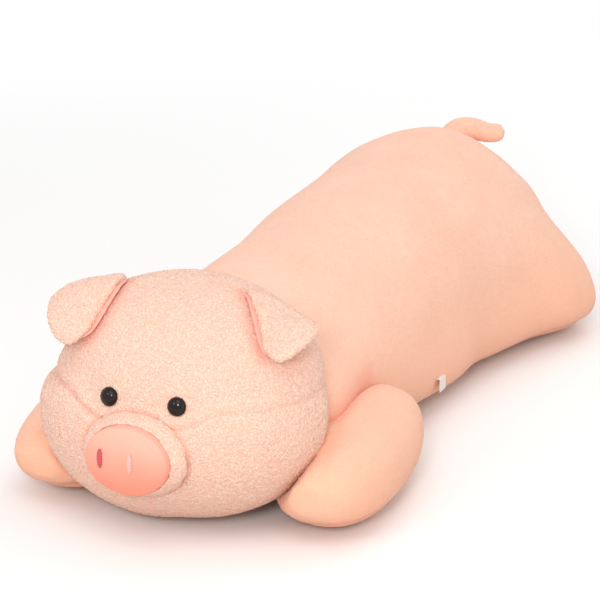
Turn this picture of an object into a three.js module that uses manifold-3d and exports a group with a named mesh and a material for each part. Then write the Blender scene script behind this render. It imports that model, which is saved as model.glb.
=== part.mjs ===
// A long plush pig that lies on its belly, in millimetres: +Z up, the snout towards -Y.
// The pig's left side is +X.
// Sewn cloth panels over stuffing, with plastic safety eyes held by lock washers.
// The head nods on the neck, the ears lift, the arms swing out and the tail wags, each on its own seam.
import * as THREE from "three";
import { mergeVertices } from "three/addons/utils/BufferGeometryUtils.js";
import Module from "manifold-3d";

const wasm = await Module();
wasm.setup();

// Cloth and clearances
const seamGap = 0.3; // room between two pieces that touch
const pileCloth = 3; // plush cloth with its pile
const satinCloth = 1.4; // smooth cloth of the snout and the ear linings

// Torso: from the neck, which is a ball inside the head, to the rump
const torsoLength = 572; // neck centre to rump
const neckRadius = 84;
const neckCentreHeight = 85;
const chestHalfWidth = 97;
const waistHalfWidth = 104;
const loinHalfWidth = 120;
const hipHalfWidth = 163;
const chestHeight = 172;
const waistHeight = 174;
const loinHeight = 182;
const hipHeight = 196;
const floorSink = 0.5; // how far a soft form would reach below the floor, where it is cut flat
const bellySeamHeight = 16;
const torsoRings = 17;
const torsoNeckRings = 5;
const torsoSpokes = 24;

// Head, about its own centre
const headHalfWidth = 113;
const headHalfDepth = 94;
const headHalfHeight = 95;
const headForward = 79; // head centre before the neck centre
const headRaise = 12; // head centre above the neck centre
const nodRange = THREE.MathUtils.degToRad(12); // how far the head tips up
const cheekSeamHeight = 6; // above the head centre, beside the snout
const cheekSeamRise = 14; // how much higher the seam runs at the sides of the head
const seamLowHalfWidth = 30; // the seam is low this far out
const seamHighHalfWidth = 70; // and high from here on
const seamWaistDepth = 7; // how far the sides are drawn in at the seam
const seamWaistReach = 20;
const cheekBulgeDepth = 8;
const crownTuckDepth = 6;
const browTuckDepth = 9; // how far the crown's front is drawn back above the seam
const seamFoldReach = 11; // how wide the fold at the cheek seam is
const headRings = 17;
const headSpokes = 24;

// Muzzle and snout, about the head centre
const muzzleHalfWidth = 45;
const muzzleHalfHeight = 35.5;
const muzzleDepth = 30;
const muzzleSinkDepth = 14; // muzzle's middle behind the head's front
const snoutDrop = 17; // below the head centre
const snoutHalfWidth = 34.5;
const snoutHalfHeight = 28.5;
const snoutDomeHalfWidth = 60;
const snoutDomeHalfHeight = 48;
const snoutDomeDepth = 33;
const snoutSinkDepth = 16; // dome's middle behind the head's front
const nostrilSpread = 12.7;
const nostrilShift = -6; // both are sewn a little to the right
const nostrilHalfWidth = 2.2;
const nostrilHalfHeight = 8.5;
const nostrilDepth = 1.8;
const nostrilRaise = 2; // above the snout's middle

// Safety eyes
const eyeRadius = 7.6;
const eyeDome = 5.2;
const eyeSpread = 28;
const eyeShift = 4; // both sit a little to the left
const eyeRaise = 22; // above the head centre
const shankRadius = 2.5;
const shankRidge = 0.5;
const shankLength = 17;
const washerRadius = 8.5;
const washerThickness = 2.4;
const washerRim = 1;

// Ears: each one is a four-cornered flap. Its corners are shares of the head's half width, depth and height,
// from the head's middle, and the two ears lie a little differently.
const leftEarShares = {
  rootInner: [0.44, 0.02, 0.94],
  rootOuter: [0.79, 0.09, 0.7],
  tipFront: [0.92, -0.66, 0.49],
  tipOuter: [1.13, -0.26, 0.76],
};
const rightEarShares = {
  rootInner: [-0.44, -0.04, 0.94],
  rootOuter: [-0.8, -0.06, 0.72],
  tipFront: [-0.59, -0.91, 0.49],
  tipOuter: [-0.88, -0.52, 0.76],
};
const earPuff = 5;
const earBow = 9; // how far the flap bows away from the head
const liningPeek = 4; // how far the lining shows past the plush at the front edge
const earRange = THREE.MathUtils.degToRad(20); // how far an ear lifts
const earColumns = 8;
const earRows = 6;

// Arms
const armSide = 111; // middle of the arm from the pig's middle
const armBefore = 7; // middle of the arm before the neck centre
const armHalfLength = 106;
const armHalfWidth = 49;
const armHeight = 82;
const armSplay = THREE.MathUtils.degToRad(5);
const armRange = THREE.MathUtils.degToRad(18); // how far an arm lifts
const armHingeSide = 92;
const armHingeHeight = 84;
const soleSeamHeight = 15;
const armRings = 12;
const armSpokes = 16;

// Tail
const tailRadius = 10.5;
const tailTipRadius = 9;
const tailFromRump = 50; // root before the rump's end
const tailRootSink = 1; // root below the back
const tailRange = THREE.MathUtils.degToRad(25); // how far the tail wags each way
const tailRoute = [
  new THREE.Vector3(0, -8, 0),
  new THREE.Vector3(3, 2, 9),
  new THREE.Vector3(14, 8, 10),
  new THREE.Vector3(29, 14, 5),
  new THREE.Vector3(44, 19, 7),
];
const tailRings = 16;
const tailSpokes = 12;

// Care label, a blank folded ribbon in the belly seam
const labelWidth = 14;
const labelDrop = 12;
const labelThickness = 0.6;
const labelBack = 255; // behind the neck centre
const labelTuck = 1.2;

const cutOverrun = 400; // how far a cutting block reaches past the pig
const mergeDistance = 1e-4;
const ballSegments = 24;
const ballRings = 16;
const stitchSegments = 10;
const stitchRings = 8;
const turnSegments = 16;

// Colours seen on the toy
const plushPeach = new THREE.Color(0.93, 0.63, 0.5);
const curlPeach = new THREE.Color(0.95, 0.69, 0.55);
const satinPink = new THREE.Color(0.96, 0.45, 0.36);
const threadRose = new THREE.Color(0.8, 0.24, 0.25);
const eyeBlack = new THREE.Color(0.03, 0.02, 0.02);
const washerWhite = new THREE.Color(0.85, 0.85, 0.82);
const fillWhite = new THREE.Color(0.9, 0.9, 0.88);
const tapeWhite = new THREE.Color(0.8, 0.76, 0.74);

const cloth = (color) => new THREE.MeshStandardMaterial({ color, roughness: 0.95, metalness: 0 });
const materials = {
  bodyPlush: cloth(plushPeach),
  headPlush: cloth(curlPeach),
  satin: new THREE.MeshStandardMaterial({ color: satinPink, roughness: 0.6, metalness: 0 }),
  thread: new THREE.MeshStandardMaterial({ color: threadRose, roughness: 0.5, metalness: 0 }),
  eye: new THREE.MeshStandardMaterial({ color: eyeBlack, roughness: 0.12, metalness: 0 }),
  washer: new THREE.MeshStandardMaterial({ color: washerWhite, roughness: 0.5, metalness: 0 }),
  fill: cloth(fillWhite),
  tape: cloth(tapeWhite),
};

// Solids and booleans

function solidOf(geometry, matrix = new THREE.Matrix4()) {
  const bare = geometry.clone();
  bare.deleteAttribute("normal");
  bare.deleteAttribute("uv");
  bare.applyMatrix4(matrix);
  const merged = mergeVertices(bare, mergeDistance);
  return new wasm.Manifold(
    new wasm.Mesh({
      numProp: 3,
      vertProperties: merged.attributes.position.array,
      triVerts: new Uint32Array(merged.index.array),
    }),
  );
}

function geometryOf(manifold) {
  const { vertProperties, triVerts } = manifold.getMesh();
  const geometry = new THREE.BufferGeometry();
  geometry.setAttribute("position", new THREE.BufferAttribute(vertProperties, 3));
  geometry.setIndex(new THREE.BufferAttribute(triVerts, 1));
  geometry.computeVertexNormals();
  return geometry;
}

// The largest body left by a cut, without the slivers beside it
function mainBody(manifold) {
  return manifold.decompose().reduce((best, one) => (one.volume() > best.volume() ? one : best));
}

function mesh(name, shape, material) {
  const geometry = geometryOf(mainBody(shape));
  const made = new THREE.Mesh(geometry, material);
  made.name = name;
  return made;
}

// A block between two corners, used to split a shell into panels
function block(low, high) {
  const size = new THREE.Vector3().subVectors(high, low);
  const middle = new THREE.Vector3().addVectors(low, high).multiplyScalar(0.5);
  const geometry = new THREE.BoxGeometry(size.x, size.y, size.z);
  return solidOf(geometry.translate(middle.x, middle.y, middle.z));
}

// A ball that no flat of its faces brings nearer than the radius, used for the neck's socket
function ballAround(centre, radius) {
  const flats = Math.cos(Math.PI / ballSegments) * Math.cos(Math.PI / ballRings / 2);
  const geometry = new THREE.SphereGeometry(radius / flats, ballSegments, ballRings);
  return solidOf(geometry.translate(centre.x, centre.y, centre.z));
}

// A closed skin over rings of points, each ring turning the same way round the line from first to last
function skinOver(rings) {
  const spokes = rings[0].length;
  const middleOf = (ring) =>
    ring.reduce((sum, p) => sum.add(p), new THREE.Vector3()).divideScalar(ring.length);
  const points = [...rings.flat(), middleOf(rings[0]), middleOf(rings.at(-1))];
  const firstPole = points.length - 2;
  const lastPole = points.length - 1;
  const index = [];
  for (let r = 0; r < rings.length - 1; r++) {
    for (let s = 0; s < spokes; s++) {
      const next = (s + 1) % spokes;
      const a = r * spokes + s;
      const b = r * spokes + next;
      index.push(a, b, a + spokes, b, b + spokes, a + spokes);
    }
  }
  const lastRow = (rings.length - 1) * spokes;
  for (let s = 0; s < spokes; s++) {
    const next = (s + 1) % spokes;
    index.push(firstPole, next, s, lastPole, lastRow + s, lastRow + next);
  }
  const geometry = new THREE.BufferGeometry();
  geometry.setAttribute("position", new THREE.Float32BufferAttribute(points.flatMap((p) => p.toArray()), 3));
  geometry.setIndex(index);
  return geometry;
}

function facingOut(geometry) {
  if (solidOf(geometry).volume() < 0) {
    const index = geometry.index.array;
    for (let i = 0; i < index.length; i += 3) {
      [index[i + 1], index[i + 2]] = [index[i + 2], index[i + 1]];
    }
  }
  return geometry;
}

// A smooth line through sizes at shares of a length
function follow(shares, sizes, share) {
  const last = shares.length - 1;
  let i = 0;
  while (i < last - 1 && share > shares[i + 1]) i++;
  const slopeAt = (k) => {
    if (k === 0 || k === last) return 0;
    const before = (sizes[k] - sizes[k - 1]) / (shares[k] - shares[k - 1]);
    const after = (sizes[k + 1] - sizes[k]) / (shares[k + 1] - shares[k]);
    return before * after <= 0 ? 0 : (2 * before * after) / (before + after);
  };
  const span = shares[i + 1] - shares[i];
  const t = (share - shares[i]) / span;
  return (
    sizes[i] * (1 + 2 * t) * (1 - t) ** 2 +
    slopeAt(i) * span * t * (1 - t) ** 2 +
    sizes[i + 1] * t ** 2 * (3 - 2 * t) -
    slopeAt(i + 1) * span * t ** 2 * (1 - t)
  );
}

const bent = (value, exponent) => Math.sign(value) * Math.abs(value) ** (2 / exponent);

// Torso

const stationShares = [0, 0.16, 0.38, 0.64, 0.84, 1];
const torsoHalfWidths = [
  neckRadius, chestHalfWidth, waistHalfWidth, loinHalfWidth, hipHalfWidth, hipHalfWidth,
];
const torsoHeights = [
  neckCentreHeight + neckRadius, chestHeight, waistHeight, loinHeight, hipHeight, hipHeight,
];
const neckBlendShare = 0.16;
const rumpStartShare = 0.72;
const rumpBend = 2.4; // how square the rump is from above
const rumpFootShare = 0.4; // height kept where the rump's sole ends
const widestShares = [0.5, 0.38, 0.42, 0.36, 0.24, 0.24]; // of the height
const backBends = [2, 2.05, 2.1, 1.95, 1.6, 1.55];
const bellyBends = [2, 2.5, 2.7, 2.7, 2.8, 2.8];

// One ring of the torso. Share 0 is the neck's centre and 1 the rump's end.
function torsoRing(share, inset) {
  const rump = Math.max(0, (share - rumpStartShare) / (1 - rumpStartShare));
  const close = (1 - rump ** rumpBend) ** (1 / rumpBend);
  const blend = Math.min(1, share / neckBlendShare);
  const halfWidth = (follow(stationShares, torsoHalfWidths, share) - inset) * close;
  const height = follow(stationShares, torsoHeights, share);
  const lowShare = follow(stationShares, widestShares, share);
  const widest = THREE.MathUtils.lerp(neckCentreHeight, height * lowShare, blend);
  const sink = THREE.MathUtils.lerp(neckRadius - neckCentreHeight, floorSink, blend);
  const up = (height - widest - inset) * close;
  const footClose = (1 - rumpFootShare + rumpFootShare * close) * close ** (1 / rumpBend);
  const down = (widest + sink - inset) * footClose;
  const backBend = follow(stationShares, backBends, share);
  const bellyBend = follow(stationShares, bellyBends, share);
  const y = share * torsoLength - inset * Math.min(1, rump);
  return ringOf(torsoSpokes, (c, d) => {
    const bend = d >= 0 ? backBend : bellyBend;
    const rise = (d >= 0 ? up : down) * bent(d, bend);
    return new THREE.Vector3(halfWidth * bent(c, bend), y, widest + rise);
  });
}

function ringOf(spokes, pointAt) {
  return Array.from({ length: spokes }, (_, s) => {
    const turn = (s / spokes) * 2 * Math.PI;
    return pointAt(Math.cos(turn), Math.sin(turn));
  });
}

function torsoForm(inset) {
  const rings = [];
  const radius = neckRadius - inset;
  for (let r = 1; r < torsoNeckRings; r++) {
    const angle = (r / torsoNeckRings) * (Math.PI / 2);
    const out = radius * Math.sin(angle);
    const y = -radius * Math.cos(angle);
    rings.push(ringOf(torsoSpokes, (c, d) => new THREE.Vector3(out * c, y, neckCentreHeight + out * d)));
  }
  const endShare = 1 - seamGap / torsoLength;
  for (let r = 0; r < torsoRings; r++) {
    // the rings lie closer together towards the rump's end
    const along = r / (torsoRings - 1);
    const share = endShare * THREE.MathUtils.lerp(along, Math.sin((along * Math.PI) / 2), along);
    rings.push(torsoRing(share, inset));
  }
  return solidOf(facingOut(skinOver(rings)));
}

// Head, about its own centre

const headPlace = new THREE.Matrix4().makeTranslation(0, -headForward, neckCentreHeight + headRaise);
const headBend = 2.3;
const headPlanBend = 2.2;
const foldShare = 0.8; // depth of the seam's fold against its cloth

function seamAt(x) {
  const climbed = THREE.MathUtils.smoothstep(Math.abs(x), seamLowHalfWidth, seamHighHalfWidth);
  return cheekSeamHeight + cheekSeamRise * climbed;
}

// One point of the head. The angle climbs from its bottom to its top, and c and d turn round it.
function headPoint(angle, c, d, inset) {
  const rise = bent(Math.sin(angle), headBend);
  const round = bent(Math.cos(angle), headBend);
  const across = bent(c, headPlanBend);
  const along = bent(d, headPlanBend);
  const fromSeam = rise * headHalfHeight - seamAt(headHalfWidth * round * across);
  const over = Math.max(0, fromSeam);
  const fold = pileCloth * foldShare * Math.exp(-((fromSeam / seamFoldReach) ** 2));
  const waist = seamWaistDepth * Math.exp(-((fromSeam / seamWaistReach) ** 2));
  const forward = 1 - Math.max(0, along);
  const cheek = cheekBulgeDepth * forward * Math.min(1, Math.max(0, -fromSeam / seamFoldReach));
  const crown = crownTuckDepth * Math.min(1, over / headHalfHeight);
  const brow = d < 0 ? browTuckDepth * Math.min(1, over / seamFoldReach) : 0;
  const halfWidth = headHalfWidth - inset - fold - waist + cheek - crown;
  const halfDepth = headHalfDepth - inset - fold - brow;
  const z = rise * (headHalfHeight - inset);
  return new THREE.Vector3(halfWidth * round * across, halfDepth * round * along, z);
}

function headForm(inset) {
  const rings = [];
  for (let r = 1; r < headRings; r++) {
    const angle = (r / headRings - 0.5) * Math.PI;
    rings.push(ringOf(headSpokes, (c, d) => headPoint(angle, c, d, inset)));
  }
  return solidOf(facingOut(skinOver(rings)), headPlace);
}

// How far before the head's centre the face is at the eyes
function faceDepth(x, z) {
  const rise = Math.min(1, Math.abs(z) / headHalfHeight);
  const round = (1 - rise ** headBend) ** (1 / headBend);
  const across = Math.min(1, Math.abs(x) / (headHalfWidth * round));
  return (headHalfDepth - browTuckDepth) * round * (1 - across ** headPlanBend) ** (1 / headPlanBend);
}

// Arms, for one side

const armPlace = (side) =>
  new THREE.Matrix4()
    .makeTranslation(side * armSide, -armBefore, 0)
    .multiply(new THREE.Matrix4().makeRotationZ(side * armSplay));
const armBend = 2.3;
const pawSwellShare = 0.08;

function armForm(side, inset) {
  const rings = [];
  const middle = (armHeight - floorSink) / 2;
  const halfHeight = (armHeight + floorSink) / 2 - inset;
  for (let r = 1; r < armRings; r++) {
    const angle = (r / armRings) * Math.PI;
    const along = -Math.cos(angle);
    const out = bent(Math.sin(angle), armBend);
    const wide = (armHalfWidth * (1 - pawSwellShare * along) - inset) * out;
    const y = bent(along, armBend) * (armHalfLength - inset);
    rings.push(
      ringOf(armSpokes, (c, d) =>
        new THREE.Vector3(wide * bent(c, armBend), y, middle + halfHeight * out * bent(d, armBend)),
      ),
    );
  }
  return solidOf(facingOut(skinOver(rings)), armPlace(side));
}

// Ears

function earCorners(shares) {
  const size = new THREE.Vector3(headHalfWidth, headHalfDepth, headHalfHeight);
  const placed = ([name, share]) => [name, new THREE.Vector3(...share).multiply(size)];
  return Object.fromEntries(Object.entries(shares).map(placed));
}

// A point on the flap. Across runs from the inner to the outer corners, and down from the root to the edge.
function earPoint(ear, across, down, offset) {
  const root = ear.rootInner.clone().lerp(ear.rootOuter, across);
  const edge = ear.tipFront.clone().lerp(ear.tipOuter, across);
  const point = root.clone().lerp(edge, down);
  const alongRoot = ear.rootOuter.clone().sub(ear.rootInner).normalize();
  const downEar = edge.sub(root).normalize();
  const away = new THREE.Vector3().crossVectors(downEar, alongRoot).normalize();
  away.multiplyScalar(Math.sign(away.z));
  const bow = earBow * Math.sin(Math.PI * across) * Math.sin((Math.PI * down) / 2);
  return point.addScaledVector(away, bow + offset);
}

const cornerSqueeze = 0.22;
const cornerLift = 0.12;

// One cloth of an ear, above the flap's middle or under it
function earLayer(ear, thicknessAt, direction, peek) {
  const peekShare = peek / ear.tipFront.distanceTo(ear.tipOuter);
  const columns = Array.from({ length: earColumns + 1 }, (_, c) => c / earColumns);
  const loop = [...columns.map((c) => [c, 0]), ...columns.toReversed().map((c) => [c, 1])];
  const rows = [];
  for (let r = 0; r <= earRows; r++) {
    const down = r / earRows;
    rows.push(
      loop.map(([across, far]) => {
        // the two free corners are rounded
        const corner = Math.max(0, down - 0.5) * 2;
        const squeezed = 0.5 + (across - 0.5) * (1 - cornerSqueeze * corner ** 3);
        const within = squeezed - peekShare * (1 - across) * down;
        const reach = down * (1 - cornerLift * (2 * Math.abs(across - 0.5)) ** 3);
        const thick = thicknessAt(across, down) * far;
        return earPoint(ear, within, reach, direction * (seamGap / 2 + thick));
      }),
    );
  }
  return solidOf(facingOut(skinOver(rows)), headPlace);
}

// Cloth is thickest in its middle and drawn in along its sewn edges
const puffed = (thickness, puff) => (across, down) => {
  const middle = Math.sin(Math.PI * across) * Math.sin(Math.PI * (0.1 + 0.9 * down));
  return thickness + puff * Math.sqrt(Math.max(0, middle));
};

// Turns about a line, and the room that a piece needs while another turns about one

function turnAbout(point, axis, angle) {
  return new THREE.Matrix4()
    .makeTranslation(point.x, point.y, point.z)
    .multiply(new THREE.Matrix4().makeRotationAxis(axis, angle))
    .multiply(new THREE.Matrix4().makeTranslation(-point.x, -point.y, -point.z));
}

const turnSteps = 4;

// A shape at every step of its turn, joined into one
function swept(shape, point, axis, from, to) {
  let all = shape;
  for (let s = 0; s <= turnSteps; s++) {
    const angle = THREE.MathUtils.lerp(from, to, s / turnSteps);
    if (angle !== 0) {
      all = all.add(shape.transform(turnAbout(point, axis, angle).toArray()));
    }
  }
  return all;
}

const neckCentre = new THREE.Vector3(0, 0, neckCentreHeight);
const acrossAxis = new THREE.Vector3(1, 0, 0);
const alongAxis = new THREE.Vector3(0, 1, 0);
const upAxis = new THREE.Vector3(0, 0, 1);

// Everything below, above or behind a line, as blocks
const far = new THREE.Vector3(cutOverrun, 2 * cutOverrun, cutOverrun);
const near = new THREE.Vector3(-cutOverrun, -2 * cutOverrun, -cutOverrun);
const below = (height) => block(near, new THREE.Vector3(far.x, far.y, height));
const above = (height) => block(new THREE.Vector3(near.x, near.y, height), far);
const behind = (depth) => block(new THREE.Vector3(near.x, depth, near.z), far);
const besideMiddle = (side) =>
  side > 0
    ? block(new THREE.Vector3(seamGap / 2, near.y, near.z), far)
    : block(near, new THREE.Vector3(-seamGap / 2, far.y, far.z));
const moved = (solid, matrix) => solid.transform(matrix.toArray());

// A rounded solid, placed about the head's centre
const headBall = (x, forward, z, radii, segments = ballSegments, rings = ballRings) => {
  const geometry = new THREE.SphereGeometry(1, segments, rings);
  geometry.scale(radii.x, radii.y, radii.z).translate(x, -forward, z);
  return solidOf(geometry, headPlace);
};

const pig = new THREE.Group();
const coreInset = pileCloth + seamGap;

// Torso pieces

const torsoBody = (inset) => torsoForm(inset).subtract(below(inset));
const torsoWide = torsoForm(-seamGap);
const torsoCover = torsoBody(0).subtract(torsoBody(pileCloth));
const torsoUpper = torsoCover.intersect(above(bellySeamHeight));

// Where the torso's side is, at a share of its length and a height
function torsoSide(share, height) {
  const ring = torsoRing(share, 0);
  const i = ring.findLastIndex((p) => p.x > 0 && p.z <= height);
  const [low, high] = [ring[i], ring[(i + 1) % ring.length]];
  return THREE.MathUtils.mapLinear(height, low.z, high.z, low.x, high.x);
}

// The label is a strip that hangs from a tab held in the belly seam
const labelShare = labelBack / torsoLength;
const labelSide = torsoSide(labelShare, bellySeamHeight);
const labelStrip = (grow) =>
  block(
    new THREE.Vector3(labelSide + labelTuck - grow, labelBack - grow, bellySeamHeight - labelDrop - grow),
    new THREE.Vector3(
      labelSide + labelTuck + labelThickness + grow,
      labelBack + labelWidth + grow,
      bellySeamHeight + grow,
    ),
  ).add(
    block(
      new THREE.Vector3(
        labelSide - labelTuck - grow,
        labelBack - grow,
        bellySeamHeight - labelThickness - grow,
      ),
      new THREE.Vector3(
        labelSide + 2 * labelTuck + grow,
        labelBack + labelWidth + grow,
        bellySeamHeight + grow,
      ),
    ).intersect(
      block(near, new THREE.Vector3(labelSide + labelTuck + labelThickness + grow, far.y, far.z)),
    ),
  );
const labelRoom = labelStrip(seamGap);

const leftSide = torsoUpper.intersect(besideMiddle(1)).subtract(labelRoom);
pig.add(mesh("torso_left_panel", leftSide, materials.bodyPlush));
pig.add(mesh("torso_right_panel", torsoUpper.intersect(besideMiddle(-1)), materials.bodyPlush));
const bellyCover = torsoCover.intersect(below(bellySeamHeight - seamGap)).subtract(labelRoom);
pig.add(mesh("torso_belly_panel", bellyCover, materials.bodyPlush));
pig.add(mesh("torso_stuffing", torsoBody(coreInset), materials.fill));
pig.add(mesh("care_label", labelStrip(0), materials.tape));

// Head pieces. The neck is a ball, so the head turns on it and keeps clear of the shoulders.

function headBody(inset) {
  const clear = seamGap + inset;
  const socket = ballAround(neckCentre, neckRadius + clear);
  const back = behind(-clear);
  const backAtNod = moved(back, turnAbout(neckCentre, acrossAxis, nodRange));
  return headForm(inset).subtract(socket).subtract(back.add(backAtNod));
}

const headWide = headForm(-seamGap);
const headCover = headBody(0).subtract(headBody(pileCloth));

// Everything under the cheek seam, lowered a little for the cloth below it
const seamSteps = 8;
function underSeam(drop) {
  const outline = new THREE.Shape().moveTo(far.x, near.z).lineTo(near.x, near.z);
  outline.lineTo(near.x, seamAt(near.x) - drop);
  for (let i = -seamSteps; i <= seamSteps; i++) {
    const x = (i / seamSteps) * seamHighHalfWidth;
    outline.lineTo(x, seamAt(x) - drop);
  }
  outline.lineTo(far.x, seamAt(far.x) - drop);
  const slab = new THREE.ExtrudeGeometry(outline, { depth: 2 * cutOverrun, bevelEnabled: false });
  return solidOf(slab.rotateX(Math.PI / 2).translate(0, cutOverrun, 0), headPlace);
}

let crown = headCover.subtract(underSeam(0));
const cheeks = headCover.intersect(underSeam(seamGap));
let headFill = headBody(coreInset);
const headInner = headForm(coreInset);

// Eyes: a dome before the cloth, a ridged shank through it and a washer behind it
function lathe(profile) {
  const points = profile.map(([radius, along]) => new THREE.Vector2(radius, along));
  return facingOut(mergeVertices(bareLathe(points), mergeDistance));
}

function bareLathe(points) {
  const geometry = new THREE.LatheGeometry(points, turnSegments);
  geometry.deleteAttribute("normal");
  geometry.deleteAttribute("uv");
  return geometry;
}

const domeSteps = 5;
const domeProfile = [[0, -eyeDome], [eyeRadius, -eyeDome]];
for (let i = 0; i <= domeSteps; i++) {
  const angle = (i / domeSteps) * (Math.PI / 2);
  domeProfile.push([eyeRadius * Math.cos(angle), eyeDome * Math.sin(angle)]);
}

function shankProfile(grow) {
  const ridges = 3;
  const pitch = shankLength / (2 * ridges);
  const profile = [[0, -shankLength - grow]];
  for (let i = 0; i < ridges; i++) {
    const start = -shankLength + i * pitch;
    profile.push([shankRadius + grow, start - grow]);
    profile.push([shankRadius + shankRidge + grow, start + pitch / 2]);
  }
  profile.push([shankRadius + grow, -shankLength / 2], [shankRadius + grow, eyeDome / 2], [0, eyeDome / 2]);
  return profile;
}

for (const [name, side] of [["left", 1], ["right", -1]]) {
  const across = eyeShift + side * eyeSpread;
  const depth = faceDepth(across, eyeRaise);
  const step = eyeRadius / 2;
  const slopeX = (faceDepth(across + step, eyeRaise) - depth) / step;
  const slopeZ = (faceDepth(across, eyeRaise + step) - depth) / step;
  const outward = new THREE.Vector3(-slopeX, -1, -slopeZ).normalize();
  const place = new THREE.Matrix4().compose(
    new THREE.Vector3(across, -depth, eyeRaise),
    new THREE.Quaternion().setFromUnitVectors(alongAxis, outward),
    new THREE.Vector3(1, 1, 1),
  );
  const inHead = headPlace.clone().multiply(place);
  const shank = solidOf(lathe(shankProfile(0)), inHead);
  const shankRoom = solidOf(lathe(shankProfile(seamGap)), inHead);
  const dome = solidOf(lathe(domeProfile), inHead).subtract(headWide);
  const back = -pileCloth - washerThickness - washerRim;
  const washerHole = shankRadius + shankRidge + seamGap;
  const washerBody = (hole, grow) => [
    [hole, back - grow],
    [washerRadius + grow, back - grow],
    [washerRadius + grow, 0],
    [hole, 0],
    [hole, back - grow],
  ];
  const washer = solidOf(lathe(washerBody(washerHole, 0)), inHead).intersect(headInner);
  const washerRoom = solidOf(lathe(washerBody(0, seamGap)), inHead);
  pig.add(mesh("eye_" + name, dome.add(shank), materials.eye));
  pig.add(mesh("eye_washer_" + name, washer, materials.washer));
  crown = crown.subtract(shankRoom);
  headFill = headFill.subtract(washerRoom).subtract(shankRoom);
}

pig.add(mesh("head_crown_panel", crown, materials.headPlush));
pig.add(mesh("head_cheek_panel", cheeks, materials.headPlush));
pig.add(mesh("head_stuffing", headFill, materials.fill));

// Muzzle ring, snout disc and sewn nostrils
const muzzleRadii = new THREE.Vector3(muzzleHalfWidth, muzzleDepth, muzzleHalfHeight);
const muzzle = headBall(0, headHalfDepth - muzzleSinkDepth, -snoutDrop, muzzleRadii);
const snoutDomeForward = headHalfDepth - snoutSinkDepth;
function snoutRod(grow) {
  const geometry = new THREE.CylinderGeometry(1, 1, 2 * headHalfDepth, 2 * turnSegments);
  geometry.scale(snoutHalfWidth + grow, 1, snoutHalfHeight + grow).translate(0, -headHalfDepth, -snoutDrop);
  return solidOf(geometry, headPlace);
}
const snoutDome = (grow) =>
  headBall(
    0,
    snoutDomeForward,
    -snoutDrop,
    new THREE.Vector3(snoutDomeHalfWidth + grow, snoutDomeDepth + grow, snoutDomeHalfHeight + grow),
  );
pig.add(mesh("muzzle_ring", muzzle.subtract(headWide).subtract(snoutRod(seamGap)), materials.headPlush));
pig.add(mesh("snout_disc", snoutDome(0).intersect(snoutRod(0)).subtract(headWide), materials.satin));
for (const [name, side] of [["left", 1], ["right", -1]]) {
  const acrossShare = (nostrilShift + side * nostrilSpread) / snoutDomeHalfWidth;
  const depth = snoutDomeForward + snoutDomeDepth * Math.sqrt(1 - acrossShare ** 2);
  const radii = new THREE.Vector3(nostrilHalfWidth, nostrilDepth, nostrilHalfHeight);
  const across = nostrilShift + side * nostrilSpread;
  const stitch = headBall(across, depth, nostrilRaise - snoutDrop, radii, stitchSegments, stitchRings);
  pig.add(mesh("nostril_" + name, stitch.subtract(snoutDome(seamGap)), materials.thread));
}

// Ears, cleared from the head through their lift
for (const [name, side, shares] of [["left", 1, leftEarShares], ["right", -1, rightEarShares]]) {
  const ear = earCorners(shares);
  const root = ear.rootInner.clone().applyMatrix4(headPlace);
  const axis = ear.rootOuter.clone().applyMatrix4(headPlace).sub(root).normalize();
  const room = swept(headWide, root, axis, 0, side * earRange);
  const outer = earLayer(ear, puffed(pileCloth, earPuff), 1, 0).subtract(room);
  const lining = earLayer(ear, puffed(satinCloth, 0), -1, liningPeek).subtract(room);
  pig.add(mesh("ear_" + name + "_outer", outer, materials.headPlush));
  pig.add(mesh("ear_" + name + "_lining", lining, materials.satin));
}

// Arms, cleared from the torso through their lift and from the head through its nod
for (const [name, side] of [["left", 1], ["right", -1]]) {
  const hinge = new THREE.Vector3(side * armHingeSide, 0, armHingeHeight);
  const armBody = (inset) => {
    const torsoLifting = swept(torsoForm(-seamGap - inset), hinge, alongAxis, 0, side * armRange);
    const headNodding = swept(headForm(-seamGap - inset), neckCentre, acrossAxis, 0, -nodRange);
    const headLifting = swept(headForm(-seamGap - inset), hinge, alongAxis, 0, side * armRange);
    const room = torsoLifting.add(headNodding).add(headLifting).add(below(inset));
    return armForm(side, inset).subtract(room);
  };
  const cover = armBody(0).subtract(armBody(pileCloth));
  pig.add(mesh("arm_" + name + "_top_panel", cover.intersect(above(soleSeamHeight)), materials.bodyPlush));
  const sole = cover.intersect(below(soleSeamHeight - seamGap));
  pig.add(mesh("arm_" + name + "_sole_panel", sole, materials.bodyPlush));
  pig.add(mesh("arm_" + name + "_stuffing", armBody(coreInset), materials.fill));
}

// Tail, a stuffed tube that wags on its root
function tailForm() {
  const along = torsoLength - tailFromRump;
  const top = Math.max(...torsoRing(along / torsoLength, 0).map((p) => p.z));
  const root = new THREE.Vector3(0, along, top - tailRootSink);
  const curve = new THREE.CatmullRomCurve3(tailRoute.map((p) => p.clone().add(root)));
  const rings = [];
  for (let r = 0; r <= tailRings; r++) {
    const share = r / tailRings;
    const toTip = (1 - share) * curve.getLength();
    const radius = THREE.MathUtils.lerp(tailRadius, tailTipRadius, share);
    const end = Math.min(1, toTip / radius);
    const out = radius * Math.sqrt(1 - (1 - end) ** 2) + seamGap * (1 - end);
    const middle = curve.getPointAt(share);
    const ahead = curve.getTangentAt(share);
    const sideways = new THREE.Vector3().crossVectors(ahead, upAxis).normalize();
    const upward = new THREE.Vector3().crossVectors(sideways, ahead);
    rings.push(
      ringOf(tailSpokes, (c, d) =>
        middle.clone().addScaledVector(sideways, out * c).addScaledVector(upward, out * d),
      ),
    );
  }
  return { root, solid: solidOf(facingOut(skinOver(rings))) };
}
const tail = tailForm();
const tailRoom = swept(torsoWide, tail.root, upAxis, -tailRange, tailRange);
pig.add(mesh("tail", tail.solid.subtract(tailRoom), materials.bodyPlush));

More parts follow.
